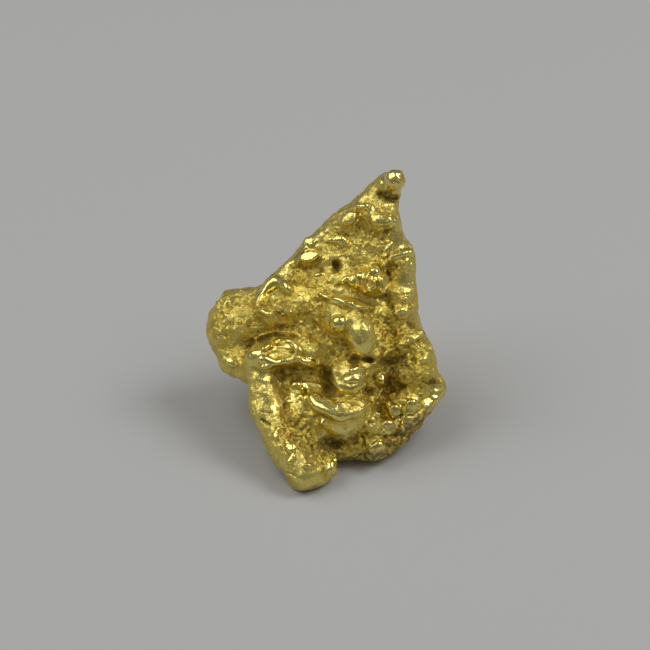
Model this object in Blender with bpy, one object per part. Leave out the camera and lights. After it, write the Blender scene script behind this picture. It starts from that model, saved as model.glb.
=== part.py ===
"""A natural gold nugget: one piece of native gold, 12 mm tall, standing on its own worn lumps.

The front is laid out as it is seen, in millimetres: across to the right, up along the broad face,
and out towards the viewer. That layout is then stood up so that the broad face leans back. Masses
give the nugget its bulk, beads and ridges stand proud of them on every side, hollows sink into
them, and the lowest lumps are worn flat where they rest on the ground.
"""

import math
import random

import bmesh
import bpy
import numpy as np
from mathutils import Matrix, Vector, noise
from mathutils.bvhtree import BVHTree

MM = 0.001
LEAN = math.radians(35.0)  # the broad face looks this far above the horizon
STAND = Vector((0.0, 0.25, 5.70))  # where the middle of the layout stands, so that the lumps reach the ground
CENTRING = Vector((-0.075, 0.80, 0.0))  # then moves the nugget so that its box stands centred on the origin
TRIANGLES = 9000  # facets of the finished solid
FUSE_CELL = 0.15  # lumps closer than this run together
MASS_SOFTENING = 3  # smoothing passes over the fused masses
RELIEF_SOFTENING = 2  # and over the relief on them
LUMP_CUTS = 3  # subdivisions of the ball that a lump starts from
GRAIN_CUTS = 2  # the same for the small balls along a ridge
LIMB_PITCH = 0.4  # spacing of the balls along a limb or a ridge, in radii
SIGHT_START = 20.0  # how far out a line of sight starts, well clear of the nugget
WEAR_BLOCK = 16.0  # side of the block that stands for the ground when the feet are worn flat

# Masses that give the front its bulk: (across, up, out), (half sizes), turn in the face in degrees
MASSES = {
    "core": ((0.5, -1.3, -1.3), (3.3, 4.4, 2.3), 0),
    "core_upper": ((1.1, 1.9, -0.9), (2.5, 2.75, 1.3), -28),
    "spire_root": ((2.2, 3.9, -0.5), (1.45, 2.2, 0.85), -24),
    "spire_top": ((2.8, 5.7, -0.1), (0.8, 1.3, 0.6), -24),
    "left_lobe": ((-4.1, -0.2, -1.7), (1.8, 2.0, 1.7), 0),
    "left_lobe_root": ((-2.6, 0.2, -1.4), (1.9, 1.9, 1.5), 0),
    "lobe_top": ((-3.55, 1.15, -1.6), (0.9, 0.8, 1.0), 0),
    "left_pendant": ((-4.5, -1.75, -1.1), (0.9, 0.95, 0.9), 0),
    "pendant_root": ((-3.6, -2.1, -0.6), (0.9, 0.9, 0.9), 0),
    "face_left": ((-1.7, 0.7, 0.0), (1.6, 1.3, 0.95), 15),
    "shoulder": ((-3.0, -1.65, 0.6), (1.15, 0.9, 1.0), 0),
    "arm": ((-1.4, -1.4, 0.55), (1.7, 0.7, 0.9), 0),
    "belly": ((0.75, -4.55, 0.7), (1.9, 1.35, 1.4), 0),
    "toe_lump": ((2.35, -5.7, 0.05), (1.35, 1.15, 1.2), 12),
    "toe_web": ((0.7, -5.9, 0.2), (1.5, 0.95, 1.0), -8),
    "toe_side": ((3.4, -5.3, -0.4), (1.1, 1.0, 1.0), 35),
    "flank_low": ((4.0, -4.3, -0.7), (1.3, 1.2, 1.4), 25),
    "flank_knob": ((5.2, -3.35, -0.9), (0.74, 0.74, 0.8), 0),
    "flank": ((4.38, -1.85, -0.7), (1.27, 1.95, 1.4), 8),
    "flank_upper": ((3.65, 0.8, -0.7), (0.9, 1.6, 0.9), 0),
    "middle_upper": ((1.0, 0.3, 0.9), (1.3, 1.15, 1.05), -15),
    "crown": ((2.4, 2.15, 0.55), (0.85, 0.72, 0.75), -15),
    "middle_round": ((1.75, -0.75, 1.75), (0.75, 0.92, 0.8), 0),
    "middle_low": ((1.3, -2.45, 1.35), (0.8, 0.85, 0.8), 0),
    "leg_bank": ((-1.4, -5.35, 0.95), (0.95, 1.75, 0.85), 32),
    "leg_inner": ((-2.15, -3.7, 0.2), (1.05, 1.7, 0.95), 8),
    "arm_floor": ((-1.0, -2.6, -0.25), (1.6, 0.85, 0.95), 0),
    "nub": ((0.25, -7.05, 1.5), (0.45, 0.52, 0.5), 20),
    "nub_root": ((-0.1, -6.9, 1.6), (0.5, 0.55, 0.5), 0),
}

# Limbs: each runs through points (across, up, out) with a radius at each
LIMBS = {
    "left_edge": [((3.3, 6.97, -0.1), 0.63), ((1.45, 5.5, -0.5), 0.62), ((-0.6, 3.7, -0.9), 0.62),
                  ((-2.5, 1.9, -1.2), 0.68)],
    "tip_knob": [((3.15, 6.88, 0.1), 0.58), ((3.55, 7.2, 0.55), 0.56)],
    "tip_neck": [((3.42, 6.8, 0.2), 0.52), ((3.3, 6.3, 0.0), 0.5)],
    "right_edge": [((3.05, 6.2, 0.0), 0.5), ((3.38, 4.6, -0.3), 0.55), ((3.88, 2.9, -0.6), 0.65),
                   ((4.0, 0.5, -0.7), 0.66)],
    "leg": [((-3.15, -2.4, 0.6), 0.82), ((-3.0, -4.2, 0.9), 0.74), ((-2.2, -5.8, 1.5), 0.76),
            ((-1.0, -7.38, 2.2), 0.88)],
    "leg_web": [((-1.6, -4.6, 0.3), 1.0), ((-0.4, -6.5, 1.2), 0.8)],
    "foot": [((-1.0, -7.38, 2.2), 0.88), ((-0.42, -7.4, 1.9), 0.7)],
}

# The back and its heels, standing: (across, back, above ground), (half sizes)
BACK_MASSES = {
    "rump": ((0.6, 1.9, 3.7), (3.3, 2.5, 2.8)),
    "under_belly": ((0.5, -1.0, 2.1), (2.4, 2.3, 1.5)),
    "under_leg": ((-1.6, -2.2, 2.4), (1.0, 1.6, 1.2)),
    "under_middle": ((0.3, 0.9, 2.0), (2.4, 2.0, 1.3)),
    "heel_left": ((-1.9, 3.0, 1.25), (1.6, 1.3, 1.32)),
    "heel_left_web": ((-1.5, 1.7, 2.3), (1.7, 1.6, 1.5)),
    "heel_left_spur": ((-0.8, 3.7, 1.9), (0.9, 0.8, 1.1)),
    "heel_right": ((2.9, 3.0, 1.3), (1.7, 1.3, 1.38)),
    "heel_right_web": ((2.7, 1.9, 2.3), (1.7, 1.6, 1.6)),
    "heel_right_spur": ((3.9, 2.2, 1.6), (0.8, 1.0, 0.9)),
    "saddle": ((0.5, 3.5, 2.9), (2.0, 1.1, 1.5)),
    "back_shoulder": ((2.2, 3.0, 5.8), (2.1, 1.5, 2.0)),
    "back_upper": ((2.0, 3.7, 8.0), (1.2, 0.95, 1.8)),
    "back_left": ((-2.4, 2.0, 4.8), (1.9, 1.5, 1.7)),
    "back_boss": ((-0.4, 3.7, 5.1), (1.3, 1.1, 1.2)),
    "back_right": ((3.9, 1.6, 3.7), (1.2, 1.5, 1.6)),
}

# Beads standing on a side, as that side is seen: (across, up), (half width, half height), rise, turn
BEADS = {
    "front": {
        "long_bead": ((-0.76, 3.36), (0.62, 0.36), 0.42, 12),
        "wedge": ((2.95, 5.2), (0.6, 0.34), 0.28, -12),
        "upper_patch": ((1.15, 5.25), (0.5, 0.3), 0.2, 30),
        "pair_right": ((0.8, 4.2), (0.28, 0.22), 0.2, 0),
        "pair_left": ((0.3, 4.25), (0.2, 0.18), 0.15, 0),
        "notch_ledge": ((4.2, 3.45), (0.4, 0.28), 0.15, 20),
        "round_bead": ((0.66, 0.08), (0.36, 0.34), 0.3, 0),
        "right_bead": ((4.05, 1.25), (0.22, 0.2), 0.18, 0),
        "oval_bead": ((2.8, -2.8), (0.24, 0.32), 0.2, 0),
        "tooth": ((3.25, -4.05), (0.2, 0.32), 0.2, 10),
        "low_bead": ((1.15, -3.6), (0.2, 0.16), 0.15, 0),
        "shelf_bead": ((-0.95, -3.7), (0.22, 0.25), 0.2, 0),
        "foot_crest": ((-1.65, -6.1), (0.35, 0.25), 0.15, -50),
        "pale_facet": ((4.2, -4.2), (0.4, 0.4), 0.12, 0),
        "lobe_bead": ((-4.25, 0.1), (0.25, 0.25), 0.1, 0),
    },
    "back": {
        "boss_bead": ((0.5, 5.6), (0.75, 0.6), 0.35, 25),
        "heel_bead": ((-3.0, 2.6), (0.6, 0.45), 0.25, -20),
        "upper_bead": ((-1.7, 8.6), (0.5, 0.65), 0.3, 0),
        "small_pair": ((1.9, 6.1), (0.35, 0.3), 0.2, 0),
        "left_bead": ((3.1, 4.0), (0.55, 0.45), 0.25, 40),
        "low_middle": ((-0.2, 1.9), (0.5, 0.35), 0.22, 0),
        "tip_back": ((-3.0, 10.7), (0.35, 0.5), 0.2, -20),
    },
    "left": {
        "lobe_swell": ((-0.9, 4.5), (0.8, 0.6), 0.15, 20),
        "lobe_crumb": ((-1.9, 5.2), (0.35, 0.3), 0.18, 0),
        "heel_side": ((-3.0, 2.1), (0.45, 0.4), 0.2, 0),
    },
    "right": {
        "flank_swell": ((1.0, 4.0), (0.7, 0.55), 0.2, 30),
        "flank_crumb": ((1.6, 2.6), (0.4, 0.35), 0.2, 0),
        "upper_crumb": ((2.6, 6.4), (0.35, 0.45), 0.2, 0),
    },
}

# Ridges on a side: points (across, up), half width, rise
RIDGES = {
    "front": {
        "rim_left": ([(-3.4, 1.0), (-3.05, 1.7), (-2.5, 2.2)], 0.2, 0.24),
        "rim_top": ([(-2.5, 2.2), (-2.1, 2.05), (-1.9, 1.75)], 0.24, 0.24),
        "rim_low": ([(-3.4, 0.95), (-2.95, 0.62), (-2.5, 0.5)], 0.16, 0.16),
        "rim_right": ([(-2.2, 0.85), (-1.95, 0.65), (-1.7, 0.6)], 0.2, 0.2),
        "brim": ([(-0.3, 1.5), (0.3, 1.3), (0.9, 1.1), (1.7, 0.9), (2.6, 0.85), (3.1, 0.55)], 0.22, 0.26),
        "vee": ([(1.6, 5.95), (2.15, 5.8), (2.4, 5.35), (2.75, 4.75)], 0.16, 0.2),
        "notch_ridge": ([(2.9, 3.0), (3.4, 3.35), (4.1, 3.55)], 0.18, 0.18),
        "flank_ridge": ([(2.9, -1.5), (3.7, -0.85), (4.6, -0.4)], 0.24, 0.26),
        "column_rung": ([(3.2, 1.7), (3.8, 1.62), (4.4, 1.75)], 0.14, 0.14),
        "column_streak": ([(3.55, 1.0), (3.7, 0.6), (3.9, 0.3)], 0.14, 0.16),
        "shoulder_ring": ([(-3.5, -0.85), (-2.6, -0.5), (-1.5, -0.55), (-0.6, -0.95)], 0.17, 0.2),
        "arm_line": ([(-3.0, -1.95), (-2.1, -1.9), (-1.3, -1.75), (-0.3, -1.95)], 0.2, 0.22),
        "crescent": ([(-0.75, -3.45), (-0.25, -4.05), (0.4, -4.35), (1.0, -4.4), (1.6, -4.2), (2.1, -3.8)],
                     0.3, 0.34),
        "under_arc": ([(0.55, -2.2), (0.65, -2.9), (1.15, -3.25), (1.75, -3.0)], 0.16, 0.16),
        "crown_flute_1": ([(0.95, 2.05), (1.2, 2.35)], 0.13, 0.14),
        "crown_flute_2": ([(1.45, 1.85), (1.65, 2.45)], 0.14, 0.18),
        "crown_flute_3": ([(2.0, 1.65), (2.4, 1.8), (2.35, 2.6)], 0.15, 0.2),
        "crown_flute_4": ([(2.85, 1.7), (3.0, 2.45)], 0.14, 0.16),
    },
    "back": {
        "spine": ([(-2.9, 9.9), (-2.1, 8.0), (-1.3, 6.4), (-1.7, 4.6)], 0.36, 0.3),
        "fold_high": ([(3.2, 5.6), (2.0, 5.0), (1.0, 4.3), (-0.3, 4.4)], 0.34, 0.32),
        "fold_low": ([(3.6, 3.2), (2.3, 2.6), (1.0, 3.1)], 0.32, 0.3),
        "heel_fold": ([(-0.9, 3.1), (-2.1, 3.6), (-3.4, 3.1), (-4.2, 3.6)], 0.3, 0.3),
        "rib": ([(-3.7, 6.9), (-3.5, 5.6), (-4.2, 4.6)], 0.28, 0.24),
        "cross_rib": ([(-0.2, 7.2), (-1.0, 7.0), (-2.0, 7.1)], 0.22, 0.2),
    },
    "left": {
        "lobe_fold": ([(-3.0, 5.6), (-2.4, 6.0), (-1.5, 5.9)], 0.28, 0.2),
        "lobe_crease_lip": ([(-1.0, 3.0), (-2.0, 3.1), (-3.0, 3.6)], 0.26, 0.22),
    },
    "right": {
        "flank_fold": ([(-1.4, 2.6), (-0.2, 2.9), (0.9, 2.4)], 0.28, 0.24),
        "rear_fold": ([(2.2, 4.9), (2.8, 4.3), (3.6, 4.4)], 0.28, 0.24),
        "spire_lip": ([(2.6, 7.2), (3.4, 8.4), (4.0, 9.4)], 0.22, 0.16),
    },
}

# Hollows in a side: points (across, up), half width, depth
HOLLOWS = {
    "front": {
        "under_arm": ([(-2.0, -2.45), (-1.1, -2.4), (-0.3, -2.45)], 0.32, 0.25),
        "beside_low": ([(0.25, -2.6), (0.3, -3.2)], 0.35, 0.45),
        "inner_leg": ([(-2.0, -3.3), (-1.75, -4.3), (-1.4, -5.0)], 0.4, 0.22),
        "belly_pit": ([(0.2, -5.75), (0.7, -5.95)], 0.35, 0.3),
        "under_round": ([(1.4, -1.75), (2.3, -1.7)], 0.16, 0.4),
        "under_knob": ([(2.95, 6.35), (3.4, 6.3)], 0.22, 0.25),
        "bead_pit": ([(0.5, 3.0), (0.65, 2.75)], 0.25, 0.4),
        "under_bead": ([(-1.5, 2.75), (-0.7, 2.65), (0.1, 2.75)], 0.3, 0.2),
        "rim_floor": ([(-2.9, 1.2), (-2.3, 1.35)], 0.35, 0.25),
        "lobe_groove": ([(-3.9, -1.0), (-3.3, -0.95), (-2.4, -0.1), (-1.5, 0.0)], 0.25, 0.22),
        "flank_pit": ([(3.0, -2.0), (3.5, -1.9), (4.3, -1.6)], 0.3, 0.28),
        "beside_crescent": ([(2.15, -3.35), (2.05, -3.7)], 0.22, 0.35),
        "ring_dimple": ([(3.72, -2.85), (3.8, -2.95)], 0.3, 0.22),
        "knob_crease": ([(4.9, -2.85), (5.4, -2.95)], 0.16, 0.3),
        "spire_dip": ([(1.9, 4.8), (2.4, 3.6)], 0.35, 0.15),
        "face_dip": ([(-0.9, 0.6), (-0.4, -0.3)], 0.5, 0.2),
    },
    "back": {
        "back_basin": ([(0.1, 6.7), (-0.4, 7.9)], 0.55, 0.5),
        "between_heels": ([(0.2, 1.4), (-0.6, 2.6)], 0.5, 0.6),
        "fold_trench": ([(2.6, 4.2), (1.2, 3.8)], 0.35, 0.5),
        "side_trench": ([(-3.0, 4.8), (-2.5, 5.9)], 0.4, 0.45),
        "upper_pit": ([(-2.6, 8.9), (-2.5, 9.2)], 0.35, 0.3),
        "small_pit": ([(1.4, 5.7), (1.5, 5.8)], 0.25, 0.35),
    },
    "left": {
        "lobe_pit": ([(0.4, 4.6), (0.6, 4.8)], 0.35, 0.3),
        "lobe_trench": ([(-1.8, 3.2), (-2.4, 4.2)], 0.4, 0.5),
    },
    "right": {
        "flank_trench": ([(0.6, 5.6), (1.2, 4.6), (0.8, 3.2)], 0.35, 0.45),
        "flank_dimple": ([(-1.6, 4.6), (-1.5, 4.7)], 0.3, 0.25),
    },
}

HOLLOW_REACH = 1.6  # a hollow's edge lies this many half widths from its line
HOLLOW_CORE = 0.6  # skin this near in depth is pressed in full
HOLLOW_FADE = 1.2  # and from there the pressing fades out over this depth

# Uneven growth all over: (size of a swelling, how far it swells), weaker on the measured front
SWELLS = ((2.9, 0.55), (1.2, 0.3))
SWELL_ON_FRONT = 0.1

CRUMBS = 60  # small lumps grown on the hidden sides
CRUMB_SIZES = (0.25, 0.65)
CRUMB_WIDTHS = (0.6, 1.0)  # next to its length
CRUMB_HEIGHTS = (0.5, 0.8)
CRUMB_SINK = 0.4  # how far a crumb's middle lies under the skin, in its own heights
HIDDEN_FACING = -0.25  # skin that faces the viewer less than this is hidden
CRUMB_CLEARANCE = 1.2  # crumbs keep this far above the ground
CRUMB_SEED = 11


def frame_of(across, up, out, origin=(0.0, 0.0, 0.0)):
    """The placement that turns (across, up, out) of a side into standing millimetres."""
    turn = Matrix((Vector(across), Vector(up), Vector(out))).transposed()
    return Matrix.Translation(Vector(origin)) @ turn.to_4x4()


SIDES = {
    "front": frame_of((1, 0, 0), (0, math.sin(LEAN), math.cos(LEAN)),
                      (0, -math.cos(LEAN), math.sin(LEAN)), STAND),
    "back": frame_of((-1, 0, 0), (0, 0, 1), (0, 1, 0)),
    "left": frame_of((0, -1, 0), (0, 0, 1), (-1, 0, 0)),
    "right": frame_of((0, 1, 0), (0, 0, 1), (1, 0, 0)),
}
FRONT = SIDES["front"]


def add_lump(bm, frame, centre, half_sizes, turn_degrees=0.0, cuts=LUMP_CUTS):
    """One rounded lump of gold, laid out in the given frame."""
    turn = Matrix.Rotation(math.radians(turn_degrees), 4, "Z")
    place = frame @ Matrix.Translation(Vector(centre)) @ turn @ Matrix.Diagonal((*half_sizes, 1.0))
    ball = bmesh.new()
    bmesh.ops.create_icosphere(ball, subdivisions=cuts, radius=1.0, matrix=place)
    ball.to_mesh(lump)
    ball.free()
    bm.from_mesh(lump)


def along(points, pitch):
    """Points at most a pitch apart on the line through the given ones, ends included."""
    points = [Vector(point) for point in points]
    line = [points[0]]
    for start, end in zip(points, points[1:]):
        steps = max(1, math.ceil((end - start).length / pitch))
        line += [start.lerp(end, step / steps) for step in range(1, steps + 1)]
    return line


def add_limb(bm, stations):
    """Balls strung so closely along a line that they fuse into one limb."""
    for (start, start_radius), (end, end_radius) in zip(stations, stations[1:]):
        line = along((start, end), LIMB_PITCH * min(start_radius, end_radius))
        for step, centre in enumerate(line):
            share = step / (len(line) - 1)
            radius = start_radius + (end_radius - start_radius) * share
            add_lump(bm, FRONT, centre, (radius,) * 3)


def as_object(bm, name):
    mesh = bpy.data.meshes.new(name)
    bm.to_mesh(mesh)
    bm.free()
    obj = bpy.data.objects.new(name, mesh)
    bpy.context.scene.collection.objects.link(obj)
    return obj


def fuse(obj, softening):
    """Runs overlapping lumps together into one skin and softens the creases between them."""
    remesh = obj.modifiers.new("fuse", "REMESH")
    remesh.mode = "VOXEL"
    remesh.voxel_size = FUSE_CELL
    smooth = obj.modifiers.new("soften", "SMOOTH")
    smooth.factor = 0.5
    smooth.iterations = softening
    graph = bpy.context.evaluated_depsgraph_get()
    fused = bpy.data.meshes.new_from_object(obj.evaluated_get(graph))
    obj.modifiers.clear()
    obj.data = fused


def points_and_normals(mesh):
    points = np.empty(len(mesh.vertices) * 3, np.float32)
    mesh.vertices.foreach_get("co", points)
    normals = np.empty(len(mesh.vertices) * 3, np.float32)
    mesh.vertex_normals.foreach_get("vector", normals)
    return points.reshape(-1, 3).astype(float), normals.reshape(-1, 3).astype(float)


def set_points(mesh, points):
    mesh.vertices.foreach_set("co", points.astype(np.float32).ravel())
    mesh.update()


def swell(mesh):
    """Uneven growth: the skin bulges and shrinks along its normals, least on the front."""
    points, normals = points_and_normals(mesh)
    out = np.array(FRONT.to_3x3().col[2])
    weight = np.clip(SWELL_ON_FRONT - normals @ out, SWELL_ON_FRONT, 1.0)
    for size, height in SWELLS:
        lift = np.array([noise.noise(Vector(point) / size) for point in points])
        points += normals * (height * lift * weight)[:, None]
    set_points(mesh, points)


def out_at(surface, frame, across, up):
    """How far out the skin lies on that side's line of sight through (across, up)."""
    start = frame @ Vector((across, up, SIGHT_START))
    hit = surface.ray_cast(start, -frame.to_3x3().col[2])[0]
    return (frame.inverted() @ hit).z


def skin_of(mesh):
    bm = bmesh.new()
    bm.from_mesh(mesh)
    return bm, BVHTree.FromBMesh(bm)


def add_relief(mesh):
    """Stands the beads, ridges and crumbs on the fused masses."""
    bm, surface = skin_of(mesh)
    for side, frame in SIDES.items():
        for (across, up), (half_width, half_height), rise, turn in BEADS[side].values():
            depth = max(0.5 * (half_width + half_height), rise)
            out = out_at(surface, frame, across, up) + rise - depth
            add_lump(bm, frame, (across, up, out), (half_width, half_height, depth), turn)
        for points, half_width, rise in RIDGES[side].values():
            for point in along(points, LIMB_PITCH * half_width):
                out = out_at(surface, frame, *point) + rise - half_width
                add_lump(bm, frame, (*point, out), (half_width,) * 3, cuts=GRAIN_CUTS)
    add_crumbs(bm, mesh)
    bm.to_mesh(mesh)
    bm.free()


def add_crumbs(bm, mesh):
    """Small lumps scattered over the sides that the broad face turns away from."""
    points, normals = points_and_normals(mesh)
    out = np.array(FRONT.to_3x3().col[2])
    hidden = np.flatnonzero((normals @ out < HIDDEN_FACING) & (points[:, 2] > CRUMB_CLEARANCE))
    chance = random.Random(CRUMB_SEED)
    for index in chance.sample(list(hidden), CRUMBS):
        size = chance.uniform(*CRUMB_SIZES)
        stretch = Vector((size, size * chance.uniform(*CRUMB_WIDTHS), size * chance.uniform(*CRUMB_HEIGHTS)))
        facing = Vector(normals[index]).to_track_quat("Z", "Y").to_matrix().to_4x4()
        frame = Matrix.Translation(Vector(points[index])) @ facing
        add_lump(bm, frame, (0.0, 0.0, -CRUMB_SINK * stretch.z), stretch, chance.uniform(0, 180), GRAIN_CUTS)


def distance_to_line(seen, stations):
    """Distance in a side's view from each point to the line, and how far out the line is there."""
    nearest = np.full(len(seen), np.inf)
    line_out = np.zeros(len(seen))
    for (start, start_out), (end, end_out) in zip(stations, stations[1:]):
        run = end - start
        share = np.clip((seen[:, :2] - start) @ run / (run @ run), 0.0, 1.0)
        gap = np.linalg.norm(seen[:, :2] - start - share[:, None] * run, axis=1)
        closer = gap < nearest
        nearest[closer] = gap[closer]
        line_out[closer] = (start_out + share * (end_out - start_out))[closer]
    return nearest, line_out


def sink_hollows(mesh):
    """Presses the hollows in, each fading out at its edge and where the skin lies deeper."""
    bm, surface = skin_of(mesh)
    bm.free()
    points, _ = points_and_normals(mesh)
    for side, frame in SIDES.items():
        to_side = np.array(frame.inverted())
        seen = points @ to_side[:3, :3].T + to_side[:3, 3]
        for line, half_width, depth in HOLLOWS[side].values():
            stations = [(np.array(point), out_at(surface, frame, *point)) for point in line]
            gap, line_out = distance_to_line(seen, stations)
            reach = np.clip(1.0 - (gap / (HOLLOW_REACH * half_width)) ** 2, 0.0, 1.0) ** 2
            beyond = np.abs(seen[:, 2] - line_out) - HOLLOW_CORE
            near = np.clip(1.0 - beyond / HOLLOW_FADE, 0.0, 1.0)
            seen[:, 2] -= depth * reach * near
        to_standing = np.array(frame)
        points = seen @ to_standing[:3, :3].T + to_standing[:3, 3]
    set_points(mesh, points)


def ground_block():
    """A block whose top is the ground: it wears the lowest lumps flat."""
    bm = bmesh.new()
    side = WEAR_BLOCK * MM
    bmesh.ops.create_cube(bm, size=side, matrix=Matrix.Translation((0.0, 0.0, -0.5 * side)))
    block = as_object(bm, "ground_block")
    block.hide_render = True
    block.display_type = "WIRE"
    return block


def native_gold():
    material = bpy.data.materials.new("native_gold")
    material.use_nodes = True
    shader = material.node_tree.nodes["Principled BSDF"]
    shader.inputs["Base Color"].default_value = (0.62, 0.43, 0.10, 1.0)
    shader.inputs["Metallic"].default_value = 1.0
    shader.inputs["Roughness"].default_value = 0.3
    return material


def build_nugget():
    bm = bmesh.new()
    for centre, half_sizes, turn in MASSES.values():
        add_lump(bm, FRONT, centre, half_sizes, turn)
    for stations in LIMBS.values():
        add_limb(bm, stations)
    for centre, half_sizes in BACK_MASSES.values():
        add_lump(bm, Matrix(), centre, half_sizes)
    nugget = as_object(bm, "nugget")
    fuse(nugget, MASS_SOFTENING)
    swell(nugget.data)
    add_relief(nugget.data)
    fuse(nugget, RELIEF_SOFTENING)
    sink_hollows(nugget.data)
    nugget.data.transform(Matrix.Scale(MM, 4) @ Matrix.Translation(CENTRING))
    nugget.data.materials.clear()
    nugget.data.materials.append(native_gold())
    return nugget


for old in list(bpy.data.objects):
    bpy.data.objects.remove(old)
lump = bpy.data.meshes.new("lump")
nugget = build_nugget()
nugget.data.calc_loop_triangles()
thin = nugget.modifiers.new("facets", "DECIMATE")
thin.ratio = TRIANGLES / len(nugget.data.loop_triangles)
thin.use_collapse_triangulate = True
wear = nugget.modifiers.new("worn_feet", "BOOLEAN")
wear.operation = "DIFFERENCE"
wear.object = ground_block()
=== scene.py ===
"""The looks of a natural gold nugget, 12 mm tall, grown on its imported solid."""

import math
import random

import bmesh
import bpy
import numpy as np
from mathutils import Matrix, Vector, noise
from mathutils.bvhtree import BVHTree


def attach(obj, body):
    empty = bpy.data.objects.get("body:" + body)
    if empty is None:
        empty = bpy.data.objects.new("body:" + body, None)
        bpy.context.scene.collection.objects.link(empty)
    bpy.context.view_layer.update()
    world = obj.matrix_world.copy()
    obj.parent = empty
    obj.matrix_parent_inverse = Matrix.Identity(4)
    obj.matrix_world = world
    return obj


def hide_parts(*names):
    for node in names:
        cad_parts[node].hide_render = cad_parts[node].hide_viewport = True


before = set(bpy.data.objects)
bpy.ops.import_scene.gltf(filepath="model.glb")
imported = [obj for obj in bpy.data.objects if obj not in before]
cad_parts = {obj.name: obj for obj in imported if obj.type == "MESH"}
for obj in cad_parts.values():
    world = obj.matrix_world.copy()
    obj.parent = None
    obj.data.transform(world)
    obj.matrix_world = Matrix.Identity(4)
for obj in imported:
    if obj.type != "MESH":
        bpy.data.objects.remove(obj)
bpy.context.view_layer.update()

# The mass of the nugget: native gold, grown and then tumbled until its outer lumps were rounded.
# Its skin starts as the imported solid, with the facets rounded off, and is worked in millimetres.
MM = 0.001
WELD = 0.002  # points closer than this are one
ROUNDING = 2  # levels of subdivision that round the facets off
EASING = (0.5, 6)  # how far each point moves towards its neighbours, and how many times

bm = bmesh.new()
bm.from_mesh(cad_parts["nugget"].data)
bmesh.ops.scale(bm, vec=(1 / MM,) * 3, verts=bm.verts)
bmesh.ops.remove_doubles(bm, verts=bm.verts, dist=WELD)
mass = bpy.data.meshes.new("nugget_skin")
bm.to_mesh(mass)
bm.free()
nugget = bpy.data.objects.new("nugget_skin", mass)
bpy.context.scene.collection.objects.link(nugget)


def settle(obj):
    """Makes the object's modifiers part of its mesh."""
    graph = bpy.context.evaluated_depsgraph_get()
    settled = bpy.data.meshes.new_from_object(obj.evaluated_get(graph))
    obj.modifiers.clear()
    obj.data = settled


rounding = nugget.modifiers.new("rounding", "SUBSURF")
rounding.levels = rounding.render_levels = ROUNDING
easing = nugget.modifiers.new("easing", "SMOOTH")
easing.factor, easing.iterations = EASING
settle(nugget)

# What grows on the mass: beads, ridges, ledges, grains and crumbs of gold, most of them under half
# a millimetre. Each is placed across and up in the broad face's layout, and stands proud of the skin
# where the line of sight through that place meets it.
LEAN = math.radians(35.0)  # the broad face looks this far above the horizon
MIDDLE = Vector((-0.075, 1.05, 5.70))  # where the middle of the broad face's layout stands
SIGHT_START = 20.0  # how far out a line of sight starts
BALL_CUTS = 2  # subdivisions of the ball that a growth starts from
ROUND = 1.0  # the fullness of a growth that stays round
RIDGE_PITCH = 0.3  # spacing of the balls along a ridge, in half widths
UNEVENNESS = 0.5  # how much a ridge's width and line vary, in half widths
UNEVEN_PITCH = 0.45  # over what length they vary
PROUD = 1.35  # how high a growth is made, next to its rise, because the skin settles over it
ROOTED = 0.8  # half of a ridge's depth, next to its rise, so that it reaches into the mass

ACROSS = Vector((1, 0, 0))
UP = Vector((0, math.sin(LEAN), math.cos(LEAN)))
OUT = Vector((0, -math.cos(LEAN), math.sin(LEAN)))
FACE = Matrix.Translation(MIDDLE) @ Matrix((ACROSS, UP, OUT)).transposed().to_4x4()

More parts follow.
